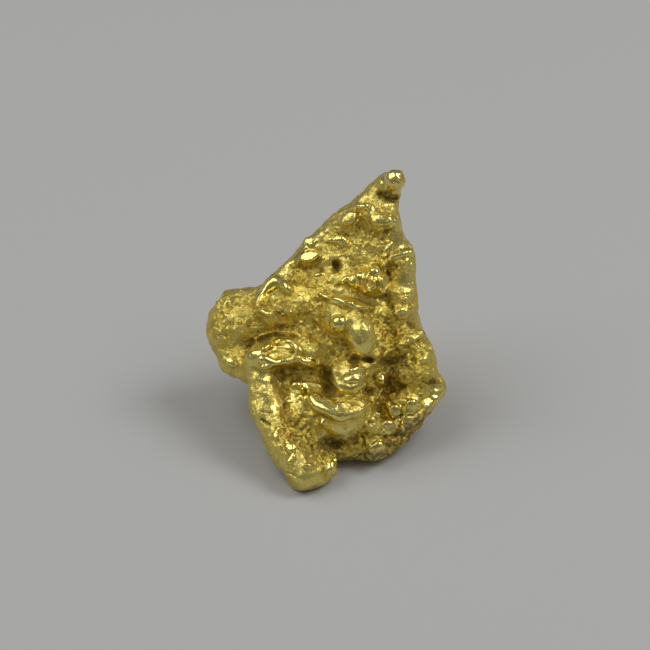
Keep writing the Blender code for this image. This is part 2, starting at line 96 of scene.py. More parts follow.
# Beads: across, up, half width, half height, rise, turn in degrees
BEADS = {
    "spire": [
        (3.53, 7.19, 0.58, 0.55, 0.14, 20), (3.05, 5.08, 0.45, 0.36, 0.28, -10),
        (0.29, 4.25, 0.12, 0.11, 0.1, 0), (0.66, 4.3, 0.16, 0.13, 0.14, 0),
        (0.96, 4.17, 0.17, 0.14, 0.14, 0), (0.82, 4.0, 0.12, 0.1, 0.1, 0),
        (0.09, 4.65, 0.09, 0.09, 0.08, 0), (1.76, 4.02, 0.11, 0.13, 0.1, 0),
        (2.44, 3.93, 0.09, 0.11, 0.1, 0), (1.2, 3.5, 0.12, 0.09, 0.08, 0),
        (2.76, 4.42, 0.1, 0.1, 0.1, 0), (4.06, 3.6, 0.15, 0.11, 0.1, 20),
        (1.2, 5.3, 0.14, 0.1, 0.08, 40), (-1.0, 3.85, 0.14, 0.1, 0.08, 30),
        (-0.75, 4.03, 0.14, 0.1, 0.08, -20), (-0.5, 4.15, 0.15, 0.1, 0.08, 40),
        (-0.42, 3.9, 0.1, 0.08, 0.07, 0),
    ],
    "crown": [(2.46, 2.66, 0.34, 0.31, 0.26, 0)],
    "long": [(-0.76, 3.32, 0.66, 0.46, 0.12, 12)],
    "middle": [
        (0.66, 0.06, 0.5, 0.47, 0.16, 0), (1.35, 0.15, 0.6, 0.7, 0.2, -20),
        (1.75, -0.45, 0.7, 0.8, 0.05, 0), (0.6, -1.58, 0.09, 0.09, 0.08, 0),
        (1.16, -3.58, 0.16, 0.12, 0.12, 0), (-0.3, -0.3, 0.2, 0.25, 0.07, 0),
    ],
    "left_lobe": [
        (-4.9, 1.14, 0.12, 0.1, 0.08, 40), (-4.4, 1.52, 0.12, 0.08, 0.07, 30),
        (-4.15, 1.66, 0.14, 0.08, 0.05, 10), (-5.3, 0.5, 0.08, 0.08, 0.06, 0),
        (-4.3, 0.1, 0.16, 0.13, 0.1, 0), (-5.4, 0.05, 0.08, 0.1, 0.06, 0),
        (-4.65, -1.65, 0.16, 0.2, 0.1, 20), (-4.55, -1.98, 0.3, 0.1, 0.12, -10),
        (-4.1, -1.5, 0.16, 0.12, 0.08, 0), (-2.55, 1.25, 0.1, 0.12, 0.08, 0),
        (-2.45, 0.92, 0.1, 0.1, 0.08, 0), (-2.02, 1.86, 0.27, 0.24, 0.12, -30),
        (-1.95, 0.76, 0.22, 0.17, 0.16, 0), (-2.5, 2.1, 0.24, 0.2, 0.18, 30),
    ],
    "leg": [
        (-0.95, -3.78, 0.15, 0.2, 0.15, 0), (-2.3, -5.25, 0.15, 0.3, 0.1, 15),
        (0.28, -7.0, 0.18, 0.28, 0.12, -10), (-1.35, -5.9, 0.14, 0.1, 0.08, 0),
        (-0.03, -4.75, 0.24, 0.1, 0.08, 0),
    ],
    "flank": [
        (2.84, -2.74, 0.2, 0.29, 0.17, 0), (4.87, -3.02, 0.1, 0.1, 0.1, 0),
        (3.9, -0.4, 0.2, 0.13, 0.1, 30), (3.62, -0.6, 0.14, 0.1, 0.08, 20),
        (2.1, -5.9, 0.12, 0.1, 0.1, 0), (4.03, 1.3, 0.19, 0.18, 0.14, 0),
        (3.35, 1.66, 0.09, 0.08, 0.07, 0), (3.62, 1.62, 0.09, 0.07, 0.07, 0),
        (3.92, 1.66, 0.1, 0.07, 0.07, 0), (4.25, 1.7, 0.09, 0.08, 0.07, 0),
        (2.3, -5.1, 0.3, 0.26, 0.12, 0), (1.75, -5.75, 0.26, 0.22, 0.12, 20),
        (4.6, -2.3, 0.3, 0.22, 0.12, 10), (4.75, -0.55, 0.42, 0.42, 0.1, 0),
        (5.0, -4.1, 0.55, 0.5, 0.1, 0), (5.0, -1.6, 0.24, 0.3, 0.1, 0), (4.2, -1.9, 0.22, 0.18, 0.1, 0),
    ],
}

# Ridges: points (across, up), half width, rise
RIDGES = {
    "spire": [
        ([(2.15, 5.95), (2.4, 5.65), (2.5, 5.25), (2.78, 4.7)], 0.13, 0.18),
        ([(1.65, 5.97), (2.15, 5.95)], 0.08, 0.1),
        ([(2.28, 5.1), (2.45, 4.85), (2.75, 4.66)], 0.08, 0.1),
        ([(0.42, 5.05), (0.8, 5.2), (1.15, 5.5), (1.5, 5.62)], 0.09, 0.1),
        ([(1.5, 5.6), (1.55, 5.3), (1.3, 5.08)], 0.1, 0.1),
        ([(2.9, 3.05), (3.3, 3.4), (3.75, 3.52), (4.1, 3.62)], 0.1, 0.14),
        ([(2.75, 3.2), (3.0, 3.5), (3.3, 3.8)], 0.13, 0.1),
    ],
    "crown": [
        ([(2.06, 2.5), (2.02, 2.05), (2.2, 1.76), (2.42, 1.9), (2.46, 2.2)], 0.13, 0.2),
        ([(1.72, 2.7), (1.64, 2.3), (1.58, 1.9)], 0.14, 0.2),
        ([(1.4, 2.45), (1.28, 2.1)], 0.13, 0.18),
        ([(1.1, 2.36), (0.92, 2.14)], 0.12, 0.18),
        ([(2.8, 2.3), (2.84, 1.95), (2.9, 1.66)], 0.13, 0.18),
    ],
    "brim": [
        ([(-0.19, 1.54), (0.05, 1.38), (0.6, 1.3), (0.92, 1.14), (1.4, 0.95), (1.85, 0.9), (2.4, 0.85)],
         0.13, 0.16),
        ([(0.3, 1.15), (0.75, 1.06), (0.95, 0.85)], 0.07, 0.08),
        ([(-0.1, 1.9), (0.4, 1.75), (1.2, 1.5), (2.0, 1.25), (2.8, 1.05)], 0.3, 0.08),
    ],
    "rim": [
        ([(-3.44, 1.1), (-3.06, 1.7), (-2.5, 2.18)], 0.17, 0.22),
        ([(-2.5, 2.18), (-2.0, 2.03), (-1.83, 1.75)], 0.2, 0.22),
        ([(-3.4, 0.85), (-3.06, 0.67), (-2.74, 0.55)], 0.12, 0.16),
        ([(-2.55, 1.1), (-2.1, 0.9), (-1.8, 0.68)], 0.16, 0.18),
        ([(-1.8, 0.68), (-1.63, 0.9)], 0.09, 0.1),
    ],
    "arm": [
        ([(-2.95, -1.2), (-2.72, -0.85), (-2.2, -0.72), (-1.65, -0.92), (-1.3, -1.28)], 0.2, 0.18),
        ([(-3.6, -0.95), (-3.2, -0.5), (-2.3, -0.3), (-1.5, -0.38), (-0.85, -0.8)], 0.1, 0.1),
        ([(-3.15, -1.72), (-2.5, -1.85), (-1.9, -1.88), (-1.5, -1.75)], 0.2, 0.16),
        ([(-1.45, -1.6), (-1.0, -1.85), (-0.3, -1.95)], 0.2, 0.12),
        ([(-1.5, -3.05), (-0.9, -3.1), (-0.3, -3.05)], 0.2, 0.16),
    ],
    "low": [
        ([(1.35, -2.28), (1.7, -2.12), (2.0, -2.16)], 0.12, 0.1),
        ([(1.1, -2.75), (1.45, -2.66), (1.8, -2.8)], 0.12, 0.1),
        ([(0.45, -2.06), (0.53, -2.62), (0.8, -3.02), (1.4, -3.16), (2.04, -2.86)], 0.17, 0.15),
        ([(-0.55, -3.7), (-0.3, -4.05), (0.1, -4.3), (0.6, -4.42), (1.16, -4.42), (1.7, -4.25)], 0.28, 0.22),
        ([(-0.45, -3.6), (0.0, -4.0), (0.5, -4.2), (1.1, -4.2)], 0.32, 0.12),
        ([(-1.05, -3.1), (-0.95, -3.5), (-0.85, -3.85)], 0.16, 0.14),
        ([(0.65, -6.25), (0.8, -6.33), (1.0, -6.33)], 0.09, 0.1),
    ],
    "leg": [
        ([(-1.3, -5.3), (-1.0, -5.8), (-0.7, -6.5)], 0.12, 0.1),
    ],
    "flank": [
        ([(2.95, -3.88), (3.25, -4.05), (3.28, -4.35)], 0.11, 0.15),
        ([(2.95, -1.45), (3.55, -1.08), (4.1, -0.86), (4.75, -0.5)], 0.13, 0.16),
        ([(3.43, 0.95), (3.55, 0.65), (3.7, 0.42)], 0.09, 0.1),
    ],
}

# The rounded left edge of the spire: points (across, up, out) and its radius
EDGE = [(3.3, 7.06, -0.25), (1.42, 5.6, -0.65), (-0.62, 3.78, -1.05), (-2.5, 1.95, -1.35)]
EDGE_RADIUS = 0.62

# Ledges: flat-topped lumps that lean up and to one side, so that they catch a light, or down to the
# floor: across, up, half width, half height, turn in degrees, and the way they lean. A heap leans up
# and to the left too, but stands higher and isn't polished.
LEDGES = [
    (2.2, 5.85, 0.3, 0.12, -20, "left"), (2.86, 5.2, 0.58, 0.34, -12, "heap"),
    (2.8, 4.9, 0.26, 0.26, 0, "heap"), (1.17, 5.3, 0.45, 0.24, 32, "heap"),
    (0.68, 4.25, 0.36, 0.16, 8, "left"), (-1.95, 1.92, 0.3, 0.22, -30, "left"),
    (-2.9, 1.8, 0.42, 0.16, 48, "left"), (-3.1, 0.75, 0.24, 0.12, -20, "left"),
    (-2.0, 0.9, 0.26, 0.14, -35, "right"), (1.1, 1.16, 0.45, 0.12, -18, "left"),
    (0.15, 1.5, 0.24, 0.14, -30, "left"), (-2.7, -0.95, 0.14, 0.3, -15, "left"),
    (-1.75, -0.85, 0.3, 0.14, -25, "right"), (-2.95, -2.08, 0.34, 0.16, 5, "left"),
    (-2.2, -1.82, 0.36, 0.14, 0, "left"), (-0.85, -1.83, 0.4, 0.18, 0, "right"),
    (-0.55, -3.85, 0.24, 0.34, 30, "left"), (0.15, -4.2, 0.4, 0.24, -15, "right"),
    (0.85, -4.36, 0.34, 0.18, 0, "right"), (-1.0, -3.25, 0.18, 0.3, 0, "left"),
    (3.25, -4.05, 0.16, 0.3, 15, "right"), (-4.9, 1.15, 0.2, 0.14, 30, "left"),
    (-4.7, -1.85, 0.26, 0.16, 0, "left"), (-4.25, 0.15, 0.14, 0.12, 0, "left"),
    (-1.75, -6.1, 0.36, 0.24, -40, "left"), (-2.45, -5.5, 0.2, 0.3, 20, "left"),
    (-0.75, -7.0, 0.34, 0.14, 0, "right"), (0.28, -7.05, 0.15, 0.3, -10, "right"),
    (4.3, -0.75, 0.34, 0.14, 30, "right"), (3.45, -1.2, 0.3, 0.12, 25, "right"),
    (4.25, 3.62, 0.2, 0.14, 10, "right"), (-0.1, -4.92, 0.2, 0.08, 0, "right"),
    (2.4, -5.1, 0.24, 0.18, 20, "right"), (4.9, -1.7, 0.2, 0.16, 0, "right"),
    (-0.78, 3.4, 0.62, 0.36, 12, "left"), (2.6, -6.15, 0.5, 0.42, 20, "down"),
    (3.12, -5.05, 0.38, 0.34, 30, "down"), (3.5, -4.3, 0.34, 0.42, 15, "down"),
    (4.3, -4.0, 0.34, 0.4, -30, "down"), (5.4, -3.8, 0.4, 0.34, 40, "down"),
    (4.1, -5.0, 0.26, 0.3, 30, "down"), (3.2, 3.9, 0.14, 0.34, -30, "left"),
    (-0.3, 2.5, 0.3, 0.12, 10, "left"),
]
LEDGE_LEAN = {
    "left": (-0.335, 0.391, 0.857),
    "right": (0.335, 0.391, 0.857),
    "down": (0.1, -0.42, 0.9),
    "heap": (-0.26, 0.391, 0.883),
}
LEDGE_RISE = {"left": 0.02, "right": 0.02, "down": -0.06, "heap": 0.2}  # of its middle over the skin
LEDGE_THICKNESS = 0.7  # half of it, next to the smaller of its other half sizes
LEDGE_THINNEST = 0.15  # and never less than this
LEDGE_FULLNESS = 0.4  # well under 1, so their tops are flat
OUTWARD = Vector((0.0, 0.0, 1.0))  # from the face, in its layout

# Glints: patches of small flat-topped grains, each leaning to one light or the other: centre, half
# sizes of the patch, its turn in degrees, how many, smallest, largest
GLINTS = [
    ((2.9, 5.26), (0.6, 0.2), -10, 15, 0.13, 0.2), ((2.8, 4.88), (0.25, 0.2), 0, 6, 0.12, 0.17),
    ((1.17, 5.3), (0.5, 0.24), 30, 14, 0.1, 0.16), ((0.68, 4.25), (0.42, 0.16), 0, 7, 0.1, 0.16),
    ((1.5, 4.1), (1.2, 0.5), 0, 14, 0.05, 0.09), ((2.6, 3.9), (0.8, 0.6), 0, 14, 0.05, 0.09),
    ((-4.9, 0.3), (0.6, 1.0), 0, 30, 0.05, 0.09), ((-4.9, 1.0), (0.5, 0.4), 40, 14, 0.05, 0.1),
    ((-4.5, -1.7), (0.5, 0.35), 0, 14, 0.07, 0.14), ((-2.2, 0.85), (0.5, 0.2), -30, 10, 0.07, 0.13),
    ((-1.9, -5.7), (0.35, 1.0), 30, 20, 0.08, 0.18), ((3.8, -0.95), (0.8, 0.25), 28, 22, 0.06, 0.12),
    ((2.4, -5.0), (0.4, 0.5), 0, 20, 0.07, 0.14), ((3.1, -3.0), (1.6, 1.2), 0, 18, 0.05, 0.09),
    ((0.35, -6.9), (0.14, 0.4), 0, 8, 0.08, 0.14), ((3.7, 0.6), (0.5, 1.2), 0, 8, 0.06, 0.1),
    ((3.9, 3.4), (0.4, 0.4), 0, 10, 0.06, 0.11), ((-1.3, -4.6), (0.6, 1.0), 0, 12, 0.06, 0.12),
]
GLINT_SPREAD = 0.2  # how far the grains' leans stray
GLINT_RISE = 0.3  # of a grain's middle over the skin, next to its size
GLINT_LENGTH = 1.6  # the longest, next to its size
GLINT_DEPTH = 0.7

# Crumbs: in each patch the first grows anywhere, and the others gather round the middle: centre,
# half sizes of the patch, how many, smallest, largest
CRUMBS = [
    ((1.2, 5.2), (0.5, 0.35), 10, 0.06, 0.1), ((-0.7, 4.0), (0.4, 0.2), 8, 0.05, 0.09),
    ((1.4, 4.6), (0.9, 0.5), 10, 0.05, 0.1), ((2.9, 4.95), (0.35, 0.18), 10, 0.05, 0.08),
    ((1.4, 2.1), (0.6, 0.35), 8, 0.06, 0.1), ((3.2, 2.9), (0.4, 0.4), 8, 0.05, 0.09),
    ((-4.7, 0.3), (0.75, 1.3), 90, 0.05, 0.11), ((-4.4, -1.6), (0.55, 0.5), 30, 0.07, 0.14),
    ((0.6, 1.15), (1.2, 0.12), 12, 0.05, 0.08), ((-2.6, 1.3), (0.7, 0.6), 10, 0.05, 0.1),
    ((3.9, 1.2), (0.4, 0.9), 14, 0.05, 0.09), ((3.9, -0.7), (0.8, 0.25), 14, 0.06, 0.1),
    ((4.0, -2.6), (1.3, 1.5), 36, 0.08, 0.2), ((2.4, -5.2), (0.9, 0.8), 24, 0.1, 0.2),
    ((3.6, -5.3), (1.1, 0.9), 24, 0.07, 0.16), ((-1.6, -5.3), (0.5, 1.4), 30, 0.07, 0.16),
    ((1.2, 4.9), (1.2, 1.2), 24, 0.07, 0.2), ((3.8, 0.6), (0.5, 1.4), 24, 0.07, 0.18),
    ((-0.9, -0.9), (0.8, 0.5), 8, 0.05, 0.1), ((1.1, -3.5), (0.5, 0.2), 6, 0.06, 0.1),
]
CRUMB_FACING = 0.5  # crumbs grow where the skin faces the viewer at least this much
CRUMB_GAP = 0.3  # and where it is this near, next to their size, so that none hangs at the outline
CRUMB_LENGTH = 2.0  # the longest, next to its size
CRUMB_DEPTH = 0.8
STRAY_CRUMBS = 300  # more crumbs, strewn over the sides that the face turns away from
STRAY_FACING = -0.5  # they grow where the skin faces the viewer less than this
STRAY_LOWEST = 0.6  # and above this height, clear of where the nugget rests
STRAY_SIZES = (0.06, 0.2)
STRAY_LENGTH = 1.7
STRAY_DEPTH = 0.7
SEED = 7  # of the draws, and of the noise that bends ridges and bowls


def add_ball(bm, place, half_sizes, fullness):
    """Adds a stretched ball. Where its fullness is under 1, its top and bottom are flatter."""
    ball = bmesh.ops.create_icosphere(bm, subdivisions=BALL_CUTS, radius=1.0)["verts"]
    for vertex in ball:
        vertex.co.z = math.copysign(abs(vertex.co.z) ** fullness, vertex.co.z)
    bmesh.ops.transform(bm, matrix=place @ Matrix.Diagonal((*half_sizes, 1.0)), verts=ball)


def surface_of(mesh):
    """The mesh's surface, for lines of sight to meet."""
    shape = bmesh.new()
    shape.from_mesh(mesh)
    surface = BVHTree.FromBMesh(shape)
    shape.free()
    return surface


def out_at(surface, across, up):
    """How far out the skin lies on the line of sight through (across, up), or beside that line."""
    hit = surface.ray_cast(FACE @ Vector((across, up, SIGHT_START)), -OUT)[0]
    if hit is None:
        hit = surface.find_nearest(FACE @ Vector((across, up, 0.0)))[0]
    return (FACE.inverted() @ hit).z


def along(points, pitch):
    """Points at most a pitch apart on the line through the given ones, ends included."""
    points = [Vector(point) for point in points]
    line = [points[0]]
    for start, end in zip(points, points[1:]):
        steps = max(1, math.ceil((end - start).length / pitch))
        line += [start.lerp(end, step / steps) for step in range(1, steps + 1)]
    return line


grown = bmesh.new()
surface = surface_of(nugget.data)
chance = random.Random(SEED)
noise.seed_set(SEED)
places = []
for beads in BEADS.values():
    for across, up, half_width, half_height, rise, turn in beads:
        rise *= PROUD
        depth = max(rise, (half_width + half_height) / 2)
        spot = Matrix.Translation((across, up, out_at(surface, across, up) + rise - depth))
        place = FACE @ spot @ Matrix.Rotation(math.radians(turn), 4, "Z")
        places.append((place, (half_width, half_height, depth), ROUND))
for ridges in RIDGES.values():
    for points, half_width, rise in ridges:
        for across, up in along(points, RIDGE_PITCH * half_width):
            stray = UNEVENNESS * noise.noise_vector(Vector((across, up, 0.0)) / UNEVEN_PITCH)
            size = half_width * (1 + stray.z)
            across += half_width * stray.x
            up += half_width * stray.y
            depth = max(size, ROOTED * PROUD * rise)
            spot = Matrix.Translation((across, up, out_at(surface, across, up) + PROUD * rise - depth))
            places.append((FACE @ spot, (size, size, depth), ROUND))
for across, up, half_width, half_height, turn, side in LEDGES:
    depth = max(LEDGE_THINNEST, LEDGE_THICKNESS * min(half_width, half_height))
    lean = OUTWARD.rotation_difference(Vector(LEDGE_LEAN[side])).to_matrix().to_4x4()
    spot = Matrix.Translation((across, up, out_at(surface, across, up) + LEDGE_RISE[side]))
    place = FACE @ spot @ lean @ Matrix.Rotation(math.radians(turn), 4, "Z")
    places.append((place, (half_width, half_height, depth), LEDGE_FULLNESS))
for centre, patch, patch_turn, count, smallest, largest in GLINTS:
    for _ in range(count):
        offset = Matrix.Rotation(math.radians(patch_turn), 2) @ Vector(
            (patch[0] * chance.uniform(-1, 1), patch[1] * chance.uniform(-1, 1))
        )
        across, up = Vector(centre) + offset
        size = chance.uniform(smallest, largest)
        stray = Vector((chance.uniform(-1, 1), chance.uniform(-1, 1), 0.0))
        lean = Vector(LEDGE_LEAN[chance.choice(("left", "right"))]) + GLINT_SPREAD * stray
        spot = Matrix.Translation((across, up, out_at(surface, across, up) + GLINT_RISE * size))
        place = FACE @ spot @ OUTWARD.rotation_difference(lean).to_matrix().to_4x4()
        turn = Matrix.Rotation(chance.uniform(0, math.pi), 4, "Z")
        grain = (size * chance.uniform(1, GLINT_LENGTH), size, GLINT_DEPTH * size)
        places.append((place @ turn, grain, LEDGE_FULLNESS))
for point in along(EDGE, RIDGE_PITCH * EDGE_RADIUS):
    places.append((FACE @ Matrix.Translation(point), (EDGE_RADIUS,) * 3, ROUND))
for centre, patch, count, smallest, largest in CRUMBS:
    for _ in range(count):
        across = centre[0] + patch[0] * chance.uniform(-1, 1)
        up = centre[1] + patch[1] * chance.uniform(-1, 1)
        size = chance.uniform(smallest, largest)
        turn = Matrix.Rotation(chance.uniform(0, math.pi), 4, "Z")
        spot = FACE @ Vector((across, up, out_at(surface, across, up)))
        _, normal, _, gap = surface.find_nearest(spot)
        if normal.dot(OUT) > CRUMB_FACING and gap < CRUMB_GAP * size:
            facing = FACE.to_3x3().to_4x4() @ turn
            crumb = (size * chance.uniform(1, CRUMB_LENGTH), size, CRUMB_DEPTH * size)
            places.append((Matrix.Translation(spot) @ facing, crumb, ROUND))
            patch = crumb  # the others gather round the middle
away = []
for vertex in nugget.data.vertices:
    if vertex.normal.dot(OUT) < STRAY_FACING and vertex.co.z > STRAY_LOWEST:
        away.append(vertex)
for vertex in chance.sample(away, STRAY_CRUMBS):
    size = chance.uniform(*STRAY_SIZES)
    facing = vertex.normal.to_track_quat("Z", "Y").to_matrix().to_4x4()
    turn = Matrix.Rotation(chance.uniform(0, math.pi), 4, "Z")
    crumb = (size * chance.uniform(1, STRAY_LENGTH), size, STRAY_DEPTH * size)
    places.append((Matrix.Translation(vertex.co) @ facing @ turn, crumb, ROUND))

growth_mesh = bpy.data.meshes.new("growth")
for place, half_sizes, fullness in places:
    growth = bmesh.new()
    add_ball(growth, place, half_sizes, fullness)
    growth.to_mesh(growth_mesh)
    growth.free()
    grown.from_mesh(growth_mesh)
grown.from_mesh(nugget.data)
grown.to_mesh(nugget.data)
grown.free()

SKIN_CELL = 0.06  # growths and mass run together into one skin of this fineness
SOFTENING = (0.5, 1)  # as for the easing
fusing = nugget.modifiers.new("fusing", "REMESH")
fusing.mode = "VOXEL"
fusing.voxel_size = SKIN_CELL
softening = nugget.modifiers.new("softening", "SMOOTH")
softening.factor, softening.iterations = SOFTENING
settle(nugget)

# The surface of the gold: creases and pits pressed in, worn crests that stay smooth, and between
# them the etched skin of small bowls and grains.

# Creases and pits: points (across, up), half width, depth
CREASES = [
    ([(2.8, 6.55), (3.3, 6.3), (3.7, 6.35)], 0.2, 0.34), ([(2.6, 6.9), (2.72, 6.8)], 0.1, 0.16),
    ([(0.53, 3.08), (0.6, 2.8)], 0.15, 0.3), ([(3.12, 2.9), (3.25, 2.3), (3.15, 1.75)], 0.12, 0.14),
    ([(-3.0, -1.35), (-2.4, -1.2), (-1.6, -1.35)], 0.12, 0.16),
    ([(-3.3, -0.75), (-2.6, -0.52), (-1.6, -0.62)], 0.1, 0.13),
    ([(-2.3, -2.14), (-1.2, -2.14), (-0.1, -2.14)], 0.13, 0.12),
    ([(0.1, -2.2), (0.05, -2.9), (0.35, -3.5)], 0.28, 0.22),
    ([(-2.3, -2.4), (-2.1, -3.4), (-2.0, -4.6)], 0.3, 0.3), ([(-0.5, -4.6), (-0.45, -4.7)], 0.2, 0.1),
    ([(0.95, -5.0), (1.0, -5.05)], 0.18, 0.1), ([(-3.15, -4.7), (-2.75, -4.95)], 0.06, 0.18),
    ([(-3.2, -4.3), (-2.7, -4.4)], 0.05, 0.12), ([(-1.85, -7.3), (-1.45, -7.5)], 0.06, 0.16),
    ([(-0.12, -6.95), (-0.02, -7.4), (0.08, -7.8)], 0.12, 0.24),
    ([(-0.1, -6.05), (0.1, -6.1)], 0.3, 0.2), ([(0.5, -5.95), (0.6, -5.95)], 0.2, 0.2),
    ([(-0.6, -6.1), (-0.6, -6.2)], 0.15, 0.12), ([(1.8, -6.5), (1.95, -6.5)], 0.2, 0.16),
    ([(2.75, -4.6), (3.3, -4.75), (3.85, -4.5), (3.9, -3.95)], 0.1, 0.2),
    ([(3.85, -4.5), (4.4, -4.5), (4.85, -4.15), (4.8, -3.6)], 0.1, 0.2),
    ([(2.6, -5.45), (2.95, -5.6), (3.5, -5.5), (3.7, -5.1), (3.85, -4.5)], 0.11, 0.2),
    ([(1.9, -5.6), (2.1, -6.1), (1.95, -6.6)], 0.1, 0.2),
    ([(2.95, -5.6), (3.15, -6.05), (3.1, -6.5)], 0.1, 0.18),
    ([(3.3, -5.17), (3.35, -5.25)], 0.13, 0.14), ([(3.55, -5.5), (3.5, -5.6)], 0.14, 0.14),
    ([(3.4, -5.9), (3.45, -5.95)], 0.12, 0.12), ([(2.2, -6.6), (2.3, -6.6)], 0.12, 0.1),
    ([(4.7, -4.85), (4.8, -4.9)], 0.12, 0.1), ([(3.85, -2.9), (3.9, -2.98)], 0.28, 0.2),
    ([(5.2, -2.95), (5.7, -2.86)], 0.09, 0.16), ([(3.0, -1.75), (3.4, -1.75), (3.9, -1.5)], 0.18, 0.22),
    ([(4.6, 0.5), (4.62, 0.6)], 0.1, 0.15), ([(1.2, -1.68), (1.64, -1.64), (2.28, -1.8)], 0.1, 0.2),
    ([(0.84, -3.5), (0.7, -3.45)], 0.14, 0.2), ([(2.05, -3.6), (2.1, -3.7)], 0.18, 0.2),
    ([(-2.95, 1.05), (-2.8, 1.2)], 0.25, 0.15),
]
CREASED = 0.7  # how deep the creases are, next to their depths above
CREASE_REACH = 1.5  # where a crease ends, in half widths from its line
CREASE_FADE = 0.8  # it fades over this length, in front of its line's level and behind it
CREASE_FADED = 1.5  # and is gone after so many times that length
RING_CREASES = [((2.84, -2.74), 0.4, 0.09, 0.12)]  # centre, radius, half width, depth
RING_SIDES = 12

# Patches worn smooth, or left rough where the last number is negative: centre, half sizes, turn in
# degrees, how much
WORN = [
    ((3.55, 7.2), (0.62, 0.55), 20, 1.0), ((-3.2, -3.4), (0.5, 1.3), 12, 0.1),
    ((-2.6, -5.9), (0.3, 1.3), 32, 0.2), ((-0.95, -7.6), (0.8, 0.5), 0, 0.2),
    ((-0.76, 3.34), (0.7, 0.4), 10, 1.0), ((0.65, 0.08), (0.5, 0.48), 0, 1.1),
    ((1.7, -0.7), (0.6, 0.75), 0, 0.4), ((-0.5, 1.9), (0.9, 0.5), 0, -0.5),
    ((1.3, -2.4), (0.75, 0.8), 0, 0.2), ((0.4, -5.05), (1.5, 0.6), 0, 0.5),
    ((-3.1, -1.9), (0.7, 0.7), 0, 0.6), ((4.15, 2.5), (0.35, 0.8), 0, 0.4),
    ((2.6, -6.15), (0.5, 0.42), 20, 1.0), ((3.12, -5.05), (0.36, 0.32), 30, 1.0),
    ((3.5, -4.3), (0.32, 0.4), 15, 1.0), ((4.3, -4.0), (0.32, 0.38), -30, 1.0),
    ((5.45, -3.5), (0.45, 0.4), 0, 0.8), ((-4.4, 0.3), (0.45, 0.7), 0, 0.4),
    ((3.65, 4.6), (0.25, 1.0), 10, 0.4), ((2.42, 2.68), (0.34, 0.34), 0, 1.1),
    ((2.0, 2.1), (1.1, 0.55), -10, 0.7), ((0.3, -4.1), (0.9, 0.35), -25, 0.9),
    ((-2.1, -1.0), (0.9, 0.4), 0, 0.7), ((2.3, 3.6), (0.3, 0.3), 0, 0.4),
    ((2.9, 5.15), (0.6, 0.4), -12, 0.4), ((-2.6, 1.9), (0.9, 0.4), 40, 0.8),
    ((1.2, 1.3), (1.5, 0.35), -15, 0.5), ((0.1, 4.75), (2.9, 0.3), 43, 0.3),
    ((0.6, 4.22), (0.5, 0.2), 0, 0.7), ((1.05, 5.3), (0.6, 0.25), 30, 0.3),
    ((3.9, 3.5), (0.5, 0.2), 20, 0.7), ((2.84, -2.74), (0.28, 0.36), 0, 1.0),
    ((3.2, -4.1), (0.3, 0.35), 0, 0.9), ((4.03, 1.3), (0.26, 0.24), 0, 1.0),
    ((1.5, 4.5), (1.5, 1.3), -30, -0.4), ((3.8, -2.3), (1.3, 1.3), 0, -0.9),
    ((2.9, -5.7), (1.5, 0.9), 0, -0.7), ((-1.4, -5.2), (0.6, 1.4), 25, -0.7),
    ((0.3, -6.1), (1.2, 0.5), 0, -0.9), ((-4.9, 0.2), (0.7, 1.2), 0, -0.3),
    ((3.3, 3.0), (0.6, 0.7), 0, -0.5), ((3.6, -0.3), (0.9, 0.7), 0, -0.6),
    ((-1.8, 0.9), (1.0, 0.6), 0, -0.3),
]

# Patches with more earth left in them: centre, half sizes, turn in degrees, how much
DIRTY = [
    ((3.15, 6.4), (0.6, 0.3), -15, 1.0), ((4.2, -5.3), (1.6, 0.45), 38, 1.0),
    ((2.2, -6.6), (1.2, 0.3), 8, 1.0), ((0.3, -6.0), (1.0, 0.45), 0, 0.8),
    ((5.5, -3.0), (0.5, 0.3), 0, 0.8), ((-1.0, -6.3), (0.3, 0.8), 20, 0.6),
    ((3.4, -2.0), (0.9, 0.5), 0, 0.6), ((-2.2, -3.6), (0.3, 1.2), 10, 0.5),
    ((0.2, -2.8), (0.4, 0.7), 0, 0.6), ((-4.0, -0.9), (0.5, 0.3), 0, 0.5),
    ((3.6, -4.9), (1.2, 0.8), 0, 0.4),
]

points = np.empty(len(nugget.data.vertices) * 3, np.float32)
nugget.data.vertices.foreach_get("co", points)
points = points.reshape(-1, 3).astype(float)
edges = np.empty(len(nugget.data.edges) * 2, np.int32)
nugget.data.edges.foreach_get("vertices", edges)
edges = edges.reshape(-1, 2)
valence = np.bincount(edges.ravel(), minlength=len(points))


def spread(values, rounds):
    """Averages each point's values with its neighbours', over and over."""
    for _ in range(rounds):
        total = np.empty_like(values)
        for column in range(values.shape[1]):
            total[:, column] = np.bincount(edges[:, 0], values[edges[:, 1], column], len(values))
            total[:, column] += np.bincount(edges[:, 1], values[edges[:, 0], column], len(values))
        values = 0.5 * values + 0.5 * total / valence[:, None]
    return values


def normals_of(points):
    """Moves the skin's points there, and gives its normals."""
    nugget.data.vertices.foreach_set("co", points.astype(np.float32).ravel())
    nugget.data.update()
    normals = np.empty(points.size, np.float32)
    nugget.data.vertex_normals.foreach_get("vector", normals)
    return normals.reshape(-1, 3).astype(float)


def bulge(points, normals, rounds):
    """How far each point stands out of the skin around it: more than 0 on a crest, less in a crease."""
    return ((points - spread(points, rounds)) * normals).sum(1)


